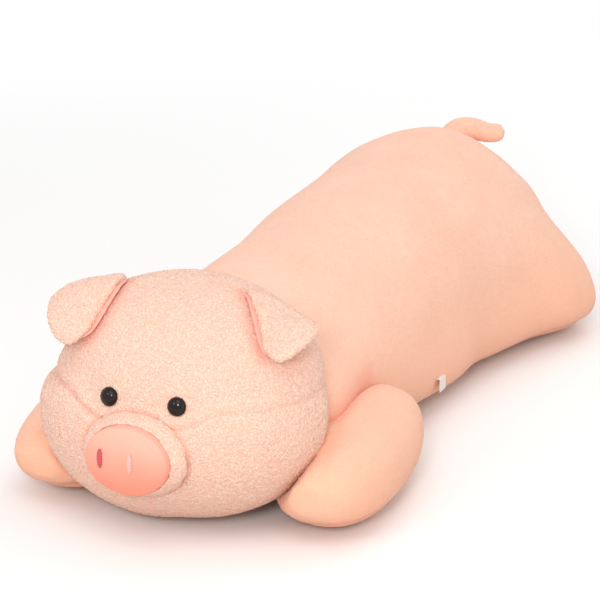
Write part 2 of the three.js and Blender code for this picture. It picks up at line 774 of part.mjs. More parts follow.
// The origin lies under the middle, on the floor
const box = new THREE.Box3().setFromObject(pig);
const middle = box.getCenter(new THREE.Vector3());
pig.position.set(-middle.x, -middle.y, -box.min.z);

export default pig;
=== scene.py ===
import math
import bpy
import numpy as np
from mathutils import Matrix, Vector, noise
from mathutils.kdtree import KDTree


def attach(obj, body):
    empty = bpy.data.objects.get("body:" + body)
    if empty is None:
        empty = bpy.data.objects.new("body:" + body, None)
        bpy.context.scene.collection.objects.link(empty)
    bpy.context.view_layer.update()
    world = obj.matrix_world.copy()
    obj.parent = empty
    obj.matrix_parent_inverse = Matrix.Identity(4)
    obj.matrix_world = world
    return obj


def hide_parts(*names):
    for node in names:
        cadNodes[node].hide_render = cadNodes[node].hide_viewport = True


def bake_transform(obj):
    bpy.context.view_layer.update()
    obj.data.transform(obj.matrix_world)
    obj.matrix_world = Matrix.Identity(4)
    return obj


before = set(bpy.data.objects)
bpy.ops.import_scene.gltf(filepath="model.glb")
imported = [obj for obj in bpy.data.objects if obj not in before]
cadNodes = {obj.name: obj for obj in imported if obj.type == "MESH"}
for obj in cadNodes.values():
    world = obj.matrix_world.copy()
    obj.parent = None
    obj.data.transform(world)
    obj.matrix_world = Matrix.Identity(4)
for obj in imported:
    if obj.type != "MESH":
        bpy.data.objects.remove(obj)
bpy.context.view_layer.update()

print("frame loaded, pieces in it:", len(cadNodes))

# one seed, so that the curls of the pile fall the same way at every run
noise.seed_set(7)

# Camera, at the photograph's angle
cameraFacts = {
    "target": (-0.021, -0.005, 0.0935), "around": 23.8, "above": 17.8, "distance": 2.065,
    "lens": 141, "sensor": 36, "farthest": 30,
}


def makeCamera(facts):
    around, above = math.radians(facts["around"]), math.radians(facts["above"])
    back = Vector((
        math.sin(around) * math.cos(above),
        -math.cos(around) * math.cos(above),
        math.sin(above),
    ))
    bpy.ops.object.camera_add(location=Vector(facts["target"]) + back * facts["distance"])
    camera = bpy.context.object
    camera.rotation_euler = back.to_track_quat("Z", "Y").to_euler()
    camera.data.lens = facts["lens"]
    camera.data.sensor_width = facts["sensor"]
    camera.data.clip_end = facts["farthest"]
    bpy.context.scene.camera = camera


makeCamera(cameraFacts)


# Shader maths: a value in a material that can be added and multiplied
class Field:
    def __init__(self, finish, socket):
        self.finish = finish
        self.socket = socket

    def maths(self, operation, first, second):
        node = self.finish.node("ShaderNodeMath", {"operation": operation}, {0: first, 1: second})
        return node.field("Value")

    def __add__(self, other):
        return self.maths("ADD", self, other)

    __radd__ = __add__

    def __mul__(self, other):
        return self.maths("MULTIPLY", self, other)

    __rmul__ = __mul__


class Made:
    def __init__(self, finish, node):
        self.finish = finish
        self.node = node

    def field(self, name):
        return Field(self.finish, self.node.outputs[name])


class Finish:
    def __init__(self, name, roughness, sheen=0.0, sheenTint=(1, 1, 1), specular=0.5):
        self.material = bpy.data.materials.new(name)
        self.material.use_nodes = True
        self.tree = self.material.node_tree
        self.shader = self.tree.nodes["Principled BSDF"]
        self.shader.inputs["Roughness"].default_value = roughness
        self.shader.inputs["Sheen Weight"].default_value = sheen
        self.shader.inputs["Sheen Roughness"].default_value = 0.5
        self.shader.inputs["Sheen Tint"].default_value = (*sheenTint, 1)
        self.shader.inputs["Specular IOR Level"].default_value = specular

    def node(self, kind, settings=None, values=None):
        node = self.tree.nodes.new(kind)
        for key, value in (settings or {}).items():
            setattr(node, key, value)
        for key, value in (values or {}).items():
            if isinstance(value, Field):
                self.tree.links.new(value.socket, node.inputs[key])
            else:
                node.inputs[key].default_value = value
        return Made(self, node)

    def place(self):
        return self.node("ShaderNodeTexCoord").field("Object")

    def grain(self, size, detail=2.0):
        spots = {"Vector": self.place(), "Scale": 1 / size, "Detail": detail, "Roughness": 0.55}
        return self.node("ShaderNodeTexNoise", {}, spots).field("Fac")

    def curls(self, size):
        # the vector is bent a little, so the curls don't sit in rows
        waves = {"Vector": self.place(), "Scale": 0.6 / size, "Detail": 1.0}
        bend = self.node("ShaderNodeTexNoise", {}, waves)
        bent = self.node(
            "ShaderNodeVectorMath",
            {"operation": "MULTIPLY_ADD"},
            {0: bend.field("Color"), 1: (size * 1.1,) * 3, 2: self.place()},
        )
        cells = self.node(
            "ShaderNodeTexVoronoi",
            {"feature": "SMOOTH_F1"},
            {"Vector": bent.field("Vector"), "Scale": 1 / size, "Smoothness": 0.6},
        )
        return cells.field("Distance")

    def fold(self):
        # painted crease shade, kept on the mesh: how far a point in or near a crease is painted darker and
        # pinker
        return self.node("ShaderNodeAttribute", {"attribute_name": "fold"}).field("Fac")

    def between(self, low, high, value):
        span = {"Value": value, "From Min": low, "From Max": high}
        return self.node("ShaderNodeMapRange", {"interpolation_type": "SMOOTHSTEP"}, span).field("Result")

    def mix(self, share, first, second):
        mixer = self.node("ShaderNodeMix", {"data_type": "RGBA"}, {"Factor": share})
        for key, colour in ((6, first), (7, second)):
            if isinstance(colour, Field):
                self.tree.links.new(colour.socket, mixer.node.inputs[key])
            else:
                mixer.node.inputs[key].default_value = (*colour, 1)
        return Field(self, mixer.node.outputs[2])

    def set(self, name, value):
        self.tree.links.new(value.socket, self.shader.inputs[name])

    def bump(self, height, distance, strength, under=None):
        values = {"Height": height, "Distance": distance, "Strength": strength}
        if under:
            values["Normal"] = under
        return self.node("ShaderNodeBump", {}, values).field("Normal")


def seen(red, green, blue):
    # a colour as it looks, 0 to 255, turned into light
    shares = [c / 255 for c in (red, green, blue)]
    return tuple(((c + 0.055) / 1.055) ** 2.4 if c > 0.04 else c / 12.92 for c in shares)


# Cloths and plastics
# on the body plush the fold colour is painted crease shade, and the low colour is painted shade, deeper orange
# towards the floor
shortPlushFacts = {
    "lit": seen(254, 209, 186), "deep": seen(246, 191, 164), "pinkTint": seen(251, 184, 160),
    "fold": seen(243, 150, 130), "low": seen(246, 187, 155), "lowFrom": 0.13, "lowTo": 0.02,
    "pile": 0.0015, "stroke": 0.012, "patch": 0.06, "rub": 0.03,
}


def shortPlush(name, facts):
    finish = Finish(name, 0.92, sheen=0.25, sheenTint=(1.0, 0.88, 0.84), specular=0.12)
    pile = finish.grain(facts["pile"], 3.0)
    stroke = finish.grain(facts["stroke"])
    patch = finish.grain(facts["patch"], 1.0)
    shade = finish.between(0.3, 0.7, pile * 0.6 + stroke * 0.15 + patch * 0.25)
    cloth = finish.mix(shade, facts["deep"], facts["lit"])
    rubbed = finish.between(0.6, 0.78, finish.grain(facts["rub"]))
    # painted shade: towards the floor the cloth is painted a deeper orange, as it looks in shade
    split = finish.node("ShaderNodeSeparateXYZ", {}, {"Vector": finish.place()})
    lowShadeShare = finish.between(facts["lowFrom"], facts["lowTo"], split.field("Z"))
    lowShaded = finish.mix(lowShadeShare * 0.8, cloth, facts["low"])
    blushed = finish.mix(rubbed * 0.2, lowShaded, facts["pinkTint"])
    # painted crease shade, in the fold colour, where the fold attribute is high
    finish.set("Base Color", finish.mix(finish.fold() * 0.8, blushed, facts["fold"]))
    finish.set("Roughness", 0.86 + pile * 0.12)
    soft = finish.bump(stroke, 0.0012, 0.4)
    finish.set("Normal", finish.bump(pile, 0.0011, 0.8, soft))
    return finish.material


# on the head plush the fold colour is painted crease shade
curlyPlushFacts = {
    "lit": seen(255, 232, 214), "mid": seen(254, 217, 196), "deep": seen(248, 194, 170),
    "fold": seen(240, 150, 132), "curl": 0.0014, "fine": 0.0009, "patch": 0.04,
}


def curlyPlush(name, facts):
    finish = Finish(name, 0.95, sheen=0.25, sheenTint=(1.0, 0.9, 0.86), specular=0.1)
    curl = finish.curls(facts["curl"])
    fine = finish.grain(facts["fine"], 3.0)
    patch = finish.grain(facts["patch"], 1.0)
    # painted light and shade on the curls: their crests painted lit and the hollows between them painted in
    # shade, over the curls' real relief
    crest = finish.between(0.75, 0.1, curl)
    cloth = finish.mix(crest, facts["deep"], facts["mid"])
    topped = finish.mix(crest * (fine * 0.9 + patch * 0.2), cloth, facts["lit"])
    # painted crease shade, in the fold colour, where the fold attribute is high
    finish.set("Base Color", finish.mix(finish.fold() * 0.75, topped, facts["fold"]))
    finish.set("Roughness", 0.9 + fine * 0.1)
    wool = finish.bump(crest, 0.0009, 0.7)
    finish.set("Normal", finish.bump(fine, 0.0008, 0.8, wool))
    return finish.material


satinFacts = {"top": seen(249, 184, 163), "bottom": seen(247, 143, 119), "low": 0.05, "high": 0.108}


def satin(name, facts):
    finish = Finish(name, 0.62, sheen=0.2, sheenTint=(1.0, 0.8, 0.75), specular=0.25)
    # deeper, darker pink towards the bottom, by height; on the snout this is airbrushed dye and painted shade
    # together
    split = finish.node("ShaderNodeSeparateXYZ", {}, {"Vector": finish.place()})
    height = finish.between(facts["low"], facts["high"], split.field("Z"))
    fine = finish.grain(0.0006)
    soft = finish.grain(0.012)
    cloth = finish.mix(height * 0.85 + soft * 0.2, facts["bottom"], facts["top"])
    finish.set("Base Color", cloth)
    finish.set("Roughness", 0.55 + fine * 0.15)
    finish.set("Normal", finish.bump(fine, 0.0002, 0.4, finish.bump(soft, 0.0006, 0.3)))
    return finish.material


def thread(name, colour, darker):
    finish = Finish(name, 0.5, sheen=0.1, specular=0.3)
    strands = finish.node(
        "ShaderNodeTexWave",
        {"bands_direction": "Z", "wave_profile": "SIN"},
        {"Vector": finish.place(), "Scale": 260.0, "Distortion": 1.2, "Detail": 1.0},
    ).field("Fac")
    finish.set("Base Color", finish.mix(strands, darker, colour))
    finish.set("Roughness", 0.45 + strands * 0.15)
    finish.set("Normal", finish.bump(strands, 0.0004, 0.7))
    return finish.material


def eyePlastic(name):
    finish = Finish(name, 0.1, specular=0.3)
    speck = finish.grain(0.002)
    finish.set("Base Color", finish.mix(speck, seen(16, 7, 5), seen(30, 15, 11)))
    finish.set("Roughness", 0.06 + speck * 0.08)
    finish.set("Normal", finish.bump(speck, 0.0001, 0.15))
    return finish.material


def plainPlastic(name, colour):
    finish = Finish(name, 0.45)
    speck = finish.grain(0.001)
    finish.set("Base Color", finish.mix(speck * 0.15, colour, seen(200, 200, 196)))
    finish.set("Roughness", 0.4 + speck * 0.15)
    return finish.material


def wovenTape(name):
    finish = Finish(name, 0.8, sheen=0.1)
    threads = {"Vector": finish.place(), "Scale": 700.0, "Distortion": 0.6}
    warp = finish.node("ShaderNodeTexWave", {"bands_direction": "Y"}, threads).field("Fac")
    weft = finish.node("ShaderNodeTexWave", {"bands_direction": "Z"}, threads).field("Fac")
    weave = warp * weft
    finish.set("Base Color", finish.mix(weave, seen(232, 224, 218), seen(250, 246, 242)))
    finish.set("Normal", finish.bump(weave, 0.0002, 0.5))
    return finish.material


bodyPlush = shortPlush("body plush", shortPlushFacts)
headPlush = curlyPlush("head plush", curlyPlushFacts)
snoutSatin = satin("snout satin", satinFacts)
liningFacts = {"top": seen(250, 182, 166), "bottom": seen(240, 150, 138), "low": 0.05, "high": 0.19}
liningSatin = satin("ear lining satin", liningFacts)
roseThread = thread("rose thread", seen(226, 112, 120), seen(176, 58, 66))
# the same rose thread as the other nostril, painted pale as a highlight where it catches the light
litThread = thread("thread painted lit", seen(252, 208, 196), seen(238, 160, 146))
eyeBlack = eyePlastic("eye plastic")
washerWhite = plainPlastic("washer plastic", seen(238, 238, 234))
tapeWhite = wovenTape("label tape")
print("materials made")


# Tools of the sewing table
def onlySelect(piece):
    bpy.ops.object.select_all(action="DESELECT")
    piece.hide_set(False)
    piece.select_set(True)
    bpy.context.view_layer.objects.active = piece


def applyModifier(piece, kind, **facts):
    onlySelect(piece)
    modifier = piece.modifiers.new(kind.lower(), kind)
    for key, value in facts.items():
        setattr(modifier, key, value)
    bpy.ops.object.modifier_apply(modifier=modifier.name)


def points(piece):
    found = np.empty(len(piece.data.vertices) * 3)
    piece.data.vertices.foreach_get("co", found)
    return found.reshape(-1, 3)


def setPoints(piece, places):
    piece.data.vertices.foreach_set("co", np.asarray(places, float).ravel())
    piece.data.update()


def normals(piece):
    found = np.empty(len(piece.data.vertices) * 3)
    piece.data.vertices.foreach_get("normal", found)
    return found.reshape(-1, 3)


def copyOf(nodeName, name, grow=0.0):
    # a merged copy of a CAD node, grown along its normals
    source = cadNodes[nodeName]
    piece = bpy.data.objects.new(name, source.data.copy())
    bpy.context.collection.objects.link(piece)
    piece.data.materials.clear()
    onlySelect(piece)
    bpy.ops.object.mode_set(mode="EDIT")
    bpy.ops.mesh.select_all(action="SELECT")
    bpy.ops.mesh.remove_doubles(threshold=0.00005)
    bpy.ops.mesh.normals_make_consistent(inside=False)
    if grow:
        bpy.ops.transform.shrink_fatten(value=grow)
    bpy.ops.object.mode_set(mode="OBJECT")
    return piece


def voxels(piece, size):
    onlySelect(piece)
    piece.data.remesh_voxel_size = size
    bpy.ops.object.voxel_remesh()


def relax(piece, rounds):
    applyModifier(piece, "SMOOTH", factor=0.5, iterations=rounds)


clothFrames = 20


def swellBetweenSeams(piece, seamWeight, cap):
    # cloth under pressure, held along its seams
    start = points(piece)
    group = piece.vertex_groups.new(name="seam")
    for i, place in enumerate(start):
        weight = seamWeight(*place)
        if weight > 0.01:
            group.add([i], min(1.0, weight), "REPLACE")
    cloth = piece.modifiers.new("cloth", "CLOTH")
    cloth.settings.quality = 5
    cloth.settings.mass = 0.3
    cloth.settings.use_pressure = True
    cloth.settings.uniform_pressure_force = 4.0
    cloth.settings.effector_weights.gravity = 0
    cloth.settings.vertex_group_mass = "seam"
    cloth.settings.pin_stiffness = 1
    cloth.point_cache.frame_start = 1
    cloth.point_cache.frame_end = clothFrames
    for step in range(1, clothFrames + 1):
        bpy.context.scene.frame_set(step)
    found = piece.evaluated_get(bpy.context.evaluated_depsgraph_get())
    ended = np.empty(len(found.data.vertices) * 3)
    found.data.vertices.foreach_get("co", ended)
    moved = ended.reshape(-1, 3) - start
    far = np.linalg.norm(moved, axis=1, keepdims=True)
    moved *= np.minimum(1.0, cap / np.maximum(far, 1e-9))
    piece.modifiers.remove(cloth)
    piece.vertex_groups.remove(group)
    bpy.context.scene.frame_set(1)
    setPoints(piece, start + moved)


def curled(piece, size, height, shift=0.0):
    # small curls of the pile, raised from the cloth, shifted so that no two cloths have the same ones
    places, outward = points(piece), normals(piece)
    rise = np.empty(len(places))
    for i, place in enumerate(places):
        spot = Vector(place) / size
        spot += noise.noise_vector(spot * 0.5 + Vector((shift, 0, 0))) * 0.6
        nearest = noise.voronoi(spot)[0][0]
        rise[i] = 0.5 - min(1.0, nearest)
    setPoints(piece, places + outward * (rise * height)[:, None])


def foldIn(piece, lines):
    # draws the cloth in along each line, and keeps for every point a painted crease shade in the fold attribute
    places, outward = points(piece), normals(piece)
    drawn, paintedShade = np.zeros(len(places)), np.zeros(len(places))
    for line in lines:
        far, share = line["far"](places), line.get("where", 1.0)
        share = share(places) if callable(share) else share
        drawn += np.exp(-((far / line["width"]) ** 2)) * line["depth"] * share
        paintedShade += np.exp(-((far / line["paintedShadeWidth"]) ** 2)) * line["paintedShade"] * share
    setPoints(piece, places - outward * drawn[:, None])
    fold = piece.data.attributes.new("fold", "FLOAT", "POINT")
    fold.data.foreach_set("value", np.clip(paintedShade, 0, 1))


def ramp(value, low, high):
    share = np.clip((value - low) / (high - low), 0, 1)
    return share * share * (3 - 2 * share)


def finishPiece(piece, material, smooth=True):
    # one material all over, and a soft shading except on flat tape
    piece.data.materials.clear()
    piece.data.materials.append(material)
    onlySelect(piece)
    if smooth:
        bpy.ops.object.shade_smooth()


# Head, over the front end of the torso
headFacts = {
    "centre": (0.0, -0.269, 0.097), "half": (0.113, 0.094, 0.095),
    "bend": 2.3, "planBend": 2.2, "lowBend": 2.12, "lift": 0.002, "sides": (-0.3, 0.4),
    "seam": 0.103, "seamRise": 0.014, "seamIn": 0.03, "seamOut": 0.07, "seamWidth": 0.0032, "seamDepth": 0.0028,
    "fold": 0.0024, "foldReach": 0.011, "waist": 0.007, "waistReach": 0.02,
    "cheek": 0.0055, "restingCheek": 0.8, "crown": 0.006, "brow": 0.009, "nape": 0.02,
    "temple": 0.009, "templeStart": (0.002, 0.022), "templeEnd": (0.08, 0.05),
    "filled": 0.0045, "filledStart": (-0.012, 0.0), "filledEnd": (0.075, 0.04),
    "voxel": 0.0025, "relax": 6, "swell": 0.0015, "curl": 0.0024, "curlHeight": 0.0017,
    "heldSeam": 0.004, "heldBack": -0.2, "heldFront": -0.34,
}
muzzleFacts = {
    "centre": (0.0, 0.0781), "half": (0.0433, 0.0331), "front": -0.3, "sink": 0.003,
    "mean": 0.04, "crease": 0.0024, "foot": 0.05, "settle": 0.94,
}


def signed(value, bend):
    return np.sign(value) * np.abs(value) ** (2 / bend)


def seamHeight(x, facts):
    # the cheek seam is low beside the snout and climbs towards the ears
    return facts["seam"] + facts["seamRise"] * ramp(np.abs(x), facts["seamIn"], facts["seamOut"])


def muzzleReach(places):
    # 1 on the muzzle's outline, less inside it
    (x, z), (wide, high) = muzzleFacts["centre"], muzzleFacts["half"]
    reach = np.hypot((places[:, 0] - x) / wide, (places[:, 2] - z) / high)
    return np.where(places[:, 1] < muzzleFacts["front"], reach, 9.0)


def headCover(facts):
    centre = Vector(facts["centre"])
    bpy.ops.object.select_all(action="DESELECT")
    bpy.ops.mesh.primitive_uv_sphere_add(segments=96, ring_count=64, radius=1.0)
    piece = bpy.context.object
    piece.name = "head_cover"
    unit = points(piece)
    rise = np.clip(unit[:, 2], -1, 1)
    flat = np.sqrt(np.maximum(0, 1 - rise ** 2))
    turn = np.arctan2(unit[:, 1], unit[:, 0])
    halfX, halfY, halfZ = facts["half"]
    across = signed(np.cos(turn), facts["planBend"])
    along = signed(np.sin(turn), facts["planBend"])
    # the filling has shifted to the left side, which has no waist at its seam and a rounder jowl
    left = ramp(across, *facts["sides"])
    bend = facts["bend"] + (facts["lowBend"] - facts["bend"]) * left * (rise < 0)
    up, ring = signed(rise, bend), flat ** (2 / bend)
    z = up * halfZ + facts["lift"] * left * ramp(-up, 0.2, 1.0)
    over = z + centre.z - seamHeight(halfX * ring * across, facts)
    back = np.maximum(0, along)
    fold = facts["fold"] * np.exp(-((over / facts["foldReach"]) ** 2))
    waist = facts["waist"] * np.exp(-((over / facts["waistReach"]) ** 2)) * (1 - left)
    temple = facts["temple"] * ramp(over, *facts["templeStart"]) * ramp(over, *facts["templeEnd"]) * (1 - left)
    filled = facts["filled"] * ramp(over, *facts["filledStart"]) * ramp(over, *facts["filledEnd"]) * left
    cheek = facts["cheek"] * np.clip(-over / facts["foldReach"], 0, 1) * (1 - back)
    cheek *= 1 - (1 - facts["restingCheek"]) * left
    crown = facts["crown"] * np.clip(over / halfZ, 0, 1) * (1 - left)
    brow = facts["brow"] * np.clip(over / facts["foldReach"], 0, 1) * (along < 0)
    x = (halfX - fold - waist - temple + filled + cheek - crown - facts["nape"] * back) * ring * across
    y = (halfY - fold - brow) * ring * along
    setPoints(piece, np.column_stack((x, y, z)) + np.array(centre))
    voxels(piece, facts["voxel"])
    relax(piece, facts["relax"])
    return piece


def headFolds(piece, facts):
    # room for the muzzle first, then the cheek seam and the crease round the muzzle, both drawn in and given
    # painted crease shade
    places = points(piece)
    places[:, 1] += muzzleFacts["sink"] * ramp(muzzleReach(places), 1.0, 0.85)
    setPoints(piece, places)
    foldIn(piece, [
        {
            "far": lambda p: p[:, 2] - seamHeight(p[:, 0], facts),
            "where": lambda p: ramp(-p[:, 1], 0.2, 0.235) * (1 - 0.6 * ramp(p[:, 0], 0.02, 0.07)),
            "width": facts["seamWidth"], "depth": facts["seamDepth"], "paintedShade": 0.55, "paintedShadeWidth": 0.0016,
        },
        {
            "far": lambda p: (muzzleReach(p) - 1.0) * muzzleFacts["mean"],
            "width": muzzleFacts["crease"], "depth": 0.001, "paintedShade": 0.6, "paintedShadeWidth": 0.0025,
        },
    ])


def headSeam(x, y, z):
    # held along the cheek seam, over the neck and behind the muzzle
    onSeam = abs(z - seamHeight(x, headFacts)) < headFacts["heldSeam"]
    return 1.0 if onSeam or y > headFacts["heldBack"] or y < headFacts["heldFront"] else 0.0


head = headCover(headFacts)
swellBetweenSeams(head, headSeam, headFacts["swell"])
applyModifier(head, "SUBSURF", levels=1, render_levels=1)
headFolds(head, headFacts)
curled(head, headFacts["curl"], headFacts["curlHeight"])
finishPiece(head, headPlush)
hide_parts("head_crown_panel", "head_cheek_panel", "head_stuffing")
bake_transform(head)
print("head made:", len(head.data.vertices), "points")

# Torso
torsoFacts = {
    "grow": 0.0033, "voxel": 0.0055, "relax": 25, "seam": 0.016, "cap": 0.004, "floor": 0.0002,
    "heldFoot": 0.018, "heldFront": -0.19, "footHeights": (0.085, 0.02), "footShares": (0.45, 0.85),
    "back": 0.0065, "backHeights": (0.1, 0.17), "backStart": (-0.04, 0.05), "backEnd": (0.3, 0.2),
    "rump": (0.009, 0.012, 0.003), "rumpHeights": (0.06, 0.12), "rumpStart": (0.16, 0.3),
    "rumpInner": (0.45, 0.0, 0.1), "rumpOuter": (0.55, 0.085, 0.125),
    "spread": 0.019, "spreadStart": (-0.14, 0.08), "spreadEnd": (0.24, 0.37), "spreadLoss": 0.7,
    "flank": 0.006, "flankPlace": 0.1, "flankReach": 0.035, "drop": 0.005, "dropStart": (-0.12, -0.02),
    "heel": 0.004, "heelHeights": (0.085, 0.03), "heelStart": (0.26, 0.34),
    "shoulderOut": 0.024, "shoulderForward": 0.016,
    "shoulderPlace": (-0.2, 0.076), "shoulderReach": (0.06, 0.036), "shoulderShares": (0.4, 0.85),
    "uneven": 0.0014, "unevenness": 9.0,
}
# soft hollows, each with its reach and depth: two on the hips and one where the rump is pulled to the tail
hollows = (
    ((0.118, 0.335, 0.062), 0.03, 0.005),
    ((-0.118, 0.335, 0.062), 0.03, 0.005),
    ((0.0, 0.345, 0.15), 0.03, 0.003),
)
armPitFacts = {"out": 0.106, "slope": 0.14, "start": -0.145}


def torsoCover(facts):
    piece = copyOf("torso_stuffing", "torso_cover", facts["grow"])
    voxels(piece, facts["voxel"])
    relax(piece, facts["relax"])
    return piece


def around(places, centre, width):
    return np.exp(-((np.linalg.norm(places - np.array(centre), axis=1) / width) ** 2))


def armPitLine(places):
    # how far outside the crease between arm and shoulder a point lies
    along = places[:, 1] - armPitFacts["start"]
    return np.abs(places[:, 0]) - (armPitFacts["out"] - armPitFacts["slope"] * along)


def torsoSag(piece, facts):
    # the filling sinks: the back fills out, the rump's upper corners draw in and its foot spreads
    places = points(piece)
    x, y, z = places.T
    side = np.sign(x)
    cuts = np.linspace(y.min(), y.max(), 60)
    widest = [np.abs(x[np.abs(y - cut) < 0.012]).max() for cut in cuts]
    share = np.abs(x) / np.interp(y, cuts, widest)
    upper = ramp(z, *facts["backHeights"])
    foot = ramp(z, *facts["footHeights"]) * ramp(share, *facts["footShares"])
    places[:, 2] += facts["back"] * upper * ramp(y, *facts["backStart"]) * ramp(y, *facts["backEnd"])

    rump = ramp(z, *facts["rumpHeights"]) * ramp(y, *facts["rumpStart"])
    (innerShare, *innerSpan), (outerShare, *outerSpan) = facts["rumpInner"], facts["rumpOuter"]
    rump *= innerShare * ramp(np.abs(x), *innerSpan) + outerShare * ramp(np.abs(x), *outerSpan)
    rumpX, rumpY, rumpZ = facts["rump"]
    places -= rump[:, None] * np.column_stack((side * rumpX, rumpY + 0 * y, rumpZ + 0 * y))

    spread = facts["spread"] * ramp(y, *facts["spreadStart"])
    spread = spread * (1 - facts["spreadLoss"] * ramp(y, *facts["spreadEnd"]))
    flank = facts["flank"] * np.exp(-(((y - facts["flankPlace"]) / facts["flankReach"]) ** 2))
    places[:, 0] += side * foot * (spread - flank)
    places[:, 2] -= facts["drop"] * foot * ramp(y, *facts["dropStart"])
    places[:, 1] += facts["heel"] * ramp(z, *facts["heelHeights"]) * ramp(y, *facts["heelStart"])

    # the shoulders fill out over the arms
    (middleY, middleZ), (reachY, reachZ) = facts["shoulderPlace"], facts["shoulderReach"]
    shoulder = np.exp(-(((y - middleY) / reachY) ** 2) - ((z - middleZ) / reachZ) ** 2)
    shoulder = shoulder * ramp(share, *facts["shoulderShares"])
    places[:, 0] += side * facts["shoulderOut"] * shoulder
    places[:, 1] -= facts["shoulderForward"] * shoulder
    setPoints(piece, places)


def torsoFolds(piece, facts):
    places, outward = points(piece), normals(piece)
    drawn = sum(around(places, centre, width) * depth for centre, width, depth in hollows)
    soft = np.array([noise.noise(Vector(p) * facts["unevenness"]) for p in places]) * facts["uneven"]
    places = places - outward * (drawn + soft)[:, None]
    places[:, 2] = np.maximum(places[:, 2], facts["floor"])
    setPoints(piece, places)


def torsoHeld(x, y, z):
    # held where it lies on the floor and inside the head
    return 1.0 if z < torsoFacts["heldFoot"] or y < torsoFacts["heldFront"] else 0.0


def besideArm(p):
    heights = ramp(p[:, 2], 0.045, 0.06) * ramp(p[:, 2], 0.1, 0.085)
    return heights * ramp(-p[:, 1], 0.115, 0.14)


torso = torsoCover(torsoFacts)
swellBetweenSeams(torso, torsoHeld, torsoFacts["cap"])
torsoSag(torso, torsoFacts)
torsoFolds(torso, torsoFacts)
applyModifier(torso, "SUBSURF", levels=1, render_levels=1)
foldIn(torso, [
    {
        "far": lambda p: p[:, 2] - torsoFacts["seam"],
        "where": lambda p: ramp(p[:, 1], -0.24, -0.2),
        "width": 0.0022, "depth": 0.0014, "paintedShade": 0.4, "paintedShadeWidth": 0.0022,
    },
    # painted shade: a breath of pink on the torso where each arm is sewn on, with no crease drawn in
    {"far": armPitLine, "where": besideArm, "width": 0.012, "depth": 0.0, "paintedShade": 0.65, "paintedShadeWidth": 0.012},
])
finishPiece(torso, bodyPlush)
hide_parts("torso_left_panel", "torso_right_panel", "torso_belly_panel", "torso_stuffing")
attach(torso, "torso")
print("torso made:", len(torso.data.vertices), "points")

# Arms: the right one lies further forward and flatter than the left
armFacts = {
    "grow": 0.0031, "voxel": 0.004, "relax": 12, "cap": 0.003, "curl": 0.0024, "curlHeight": 0.0008,
    "heldFoot": 0.017, "seam": 0.0165, "reach": (0.17, 0.29), "floor": 0.0002,
    "left": {"side": 1, "forward": 0.007, "toLeft": 0.001, "flatter": 0.0},
    "right": {"side": -1, "forward": 0.017, "toLeft": 0.01, "flatter": 0.008},
    "inner": 0.132, "innerOut": 0.03, "innerStart": (0.17, 0.23), "innerEnd": (0.255, 0.3), "inward": 0.012,
    "under": 0.006, "underHeights": (0.05, 0.065), "underStart": (-0.25, -0.22), "flatterHeights": (0.02, 0.075),
}


def armRest(piece, facts, lying):
    places = points(piece)
    reach = ramp(-places[:, 1], *facts["reach"])
    places[:, 1] -= lying["forward"] * reach
    places[:, 0] += lying["toLeft"] * reach
    inside = ramp(facts["inner"] - np.abs(places[:, 0]), 0.0, facts["innerOut"])
    inside *= ramp(-places[:, 1], *facts["innerStart"]) * (1 - 0.85 * ramp(-places[:, 1], *facts["innerEnd"]))
    places[:, 0] -= lying["side"] * facts["inward"] * inside
    # inside the crease it goes down under the shoulder
    under = ramp(-armPitLine(places), 0.0, 0.014) * ramp(places[:, 2], *facts["underHeights"])
    places[:, 2] -= facts["under"] * under * ramp(places[:, 1], *facts["underStart"])
    places[:, 2] -= lying["flatter"] * reach * ramp(places[:, 2], *facts["flatterHeights"])
    places[:, 2] = np.maximum(places[:, 2], facts["floor"])
    setPoints(piece, places)


for sideName in ("left", "right"):
    arm = copyOf(f"arm_{sideName}_stuffing", f"arm_{sideName}_cover", armFacts["grow"])
    voxels(arm, armFacts["voxel"])
    relax(arm, armFacts["relax"])
    swellBetweenSeams(arm, lambda x, y, z: 1.0 if z < armFacts["heldFoot"] else 0.0, armFacts["cap"])
    applyModifier(arm, "SUBSURF", levels=1, render_levels=1)
    # painted crease shade along the seam at the foot, which is drawn in, and along the crease under the
    # shoulder, which is not
    foldIn(arm, [
        {
            "far": lambda p: p[:, 2] - armFacts["seam"],
            "width": 0.003, "depth": 0.003, "paintedShade": 0.5, "paintedShadeWidth": 0.003,
        },
        {
            "far": armPitLine,
            "where": lambda p: ramp(p[:, 2], 0.055, 0.07) * ramp(p[:, 1], -0.115, -0.14),
            "width": 0.003, "depth": 0.0, "paintedShade": 0.3, "paintedShadeWidth": 0.0035,
        },
    ])
    armRest(arm, armFacts, armFacts[sideName])
    curled(arm, armFacts["curl"], armFacts["curlHeight"], 3.0)
    finishPiece(arm, bodyPlush)
    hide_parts(*[f"arm_{sideName}_{part}" for part in ("top_panel", "sole_panel", "stuffing")])
    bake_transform(arm)
print("arms made")

# Muzzle, snout and nostrils
faceFacts = {
    "muzzle": {"grow": 0.0008, "voxel": 0.0014, "relax": 10, "curlHeight": 0.0013},
    "snout": {"grow": 0.0, "voxel": 0.0012, "relax": 14},
    "nostril": {"grow": 0.0003, "voxel": 0.0004, "relax": 4},
}


def settledCopy(nodeName, name, facts):
    # the muzzle has sunk a little under its own weight, and all that is on it
    piece = copyOf(nodeName, name, facts["grow"])
    places = points(piece)
    places[:, 2] = muzzleFacts["foot"] + (places[:, 2] - muzzleFacts["foot"]) * muzzleFacts["settle"]
    setPoints(piece, places)
    voxels(piece, facts["voxel"])
    relax(piece, facts["relax"])
    return piece


muzzle = settledCopy("muzzle_ring", "muzzle_pad", faceFacts["muzzle"])
curled(muzzle, headFacts["curl"], faceFacts["muzzle"]["curlHeight"], 5.0)
finishPiece(muzzle, headPlush)
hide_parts("muzzle_ring")
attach(muzzle, "head")

